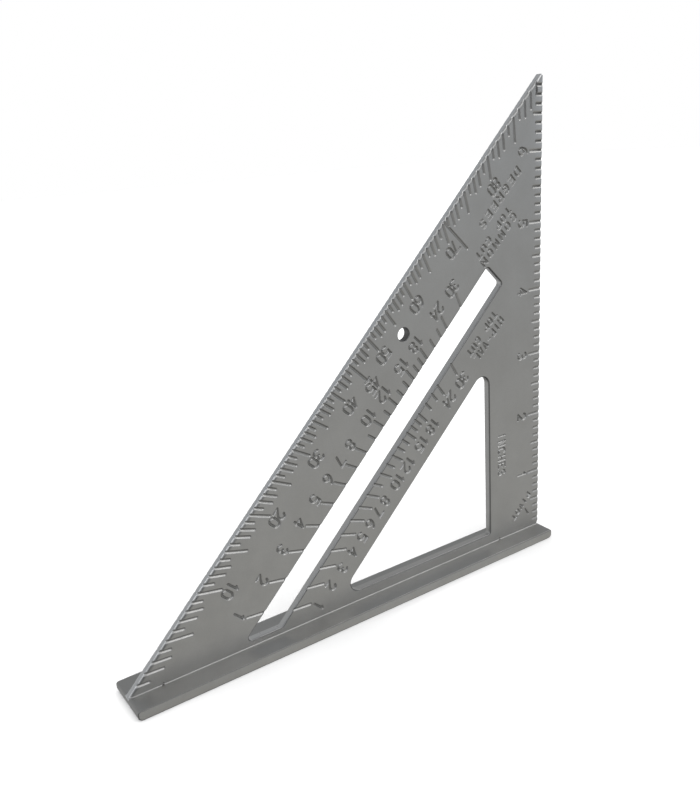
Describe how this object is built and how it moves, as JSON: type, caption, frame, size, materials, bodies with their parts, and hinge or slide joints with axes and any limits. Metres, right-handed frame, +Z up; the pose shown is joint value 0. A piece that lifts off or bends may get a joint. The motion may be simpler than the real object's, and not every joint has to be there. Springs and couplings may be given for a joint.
{
  "type": "speed square",
  "caption": "Triangular cast aluminium rafter angle square with a T-shaped fence, slot, window and recessed degree, rafter and inch scales.",
  "frame": {"origin": "centre of the fence's underside", "axes": "+Z up from the fence's underside, +X along the fence towards the ruler edge, -Y out of the face with the rafter scales"},
  "size_m": [0.1798, 0.019, 0.1817],
  "materials": {
    "cast_aluminium": "satin as-cast"
  },
  "bodies": {
    "root": {"blade": "cast_aluminium", "fence": "cast_aluminium"}
  },
  "joints": []
}
